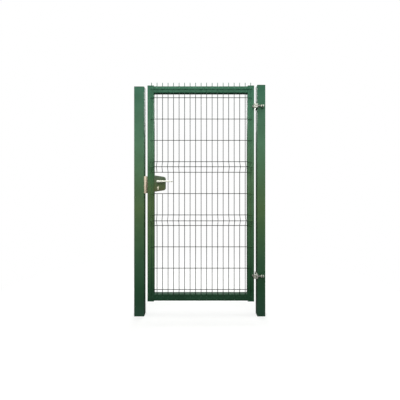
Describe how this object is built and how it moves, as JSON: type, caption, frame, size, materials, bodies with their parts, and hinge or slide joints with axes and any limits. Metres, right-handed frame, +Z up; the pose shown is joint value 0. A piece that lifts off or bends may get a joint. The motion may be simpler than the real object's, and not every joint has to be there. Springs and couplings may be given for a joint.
{
  "type": "pedestrian gate",
  "caption": "Framed welded-mesh gate leaf on two square posts, with pin hinges, a lever lock and a keep; the leaf swings out to the front.",
  "frame": {"origin": "centre of the hinge post's foot, at ground level", "axes": "+X from the lock side to the hinge side, -Y towards the side the gate opens to, +Z up"},
  "size_m": [1.214, 0.155, 2.16],
  "materials": {
    "green_paint": "satin green powder coat",
    "wire_coating": "dark green coated wire",
    "cap_plastic": "moulded dark green plastic",
    "case_paint": "dark olive green powder coat",
    "zinc": "dull zinc plate",
    "zinc_tan": "warm zinc plate",
    "nickel": "satin nickel",
    "lever_alloy": "satin alloy"
  },
  "bodies": {
    "posts": {"hinge_post": "green_paint", "lock_post": "green_paint", "hinge_post_cap": "cap_plastic", "lock_post_cap": "cap_plastic", "upper_hinge_lug": "green_paint", "lower_hinge_lug": "green_paint", "upper_fork_bolt": "zinc", "lower_fork_bolt": "zinc", "upper_hinge_nuts": "zinc", "lower_hinge_nuts": "zinc", "upper_hinge_pin": "zinc", "lower_hinge_pin": "zinc", "lock_keep": "zinc_tan"},
    "leaf": {"hinge_stile": "green_paint", "lock_stile": "green_paint", "top_rail": "green_paint", "bottom_rail": "green_paint", "hinge_stile_top_cap": "cap_plastic", "hinge_stile_bottom_cap": "cap_plastic", "lock_stile_top_cap": "cap_plastic", "lock_stile_bottom_cap": "cap_plastic", "mesh_panel": "wire_coating", "upper_hinge_arm": "zinc", "lower_hinge_arm": "zinc", "lock_case": "case_paint", "lock_front_plate": "zinc", "lock_cylinder": "nickel"},
    "handle": {"front_lever": "lever_alloy", "back_lever": "lever_alloy", "lever_spindle": "lever_alloy"}
  },
  "joints": [
    {"name": "leaf_swing", "type": "hinge", "parent": "posts", "child": "leaf", "pos_m": [-0.0635, -0.058, 1], "axis": [0, 0, 1], "range_deg": [0, 110]},
    {"name": "lever_turn", "type": "hinge", "parent": "leaf", "child": "handle", "pos_m": [-0.9565, 0, 1.248], "axis": [0, 1, 0], "range_deg": [0, 40], "stiffness_Nm_per_rad": 0.5}
  ]
}
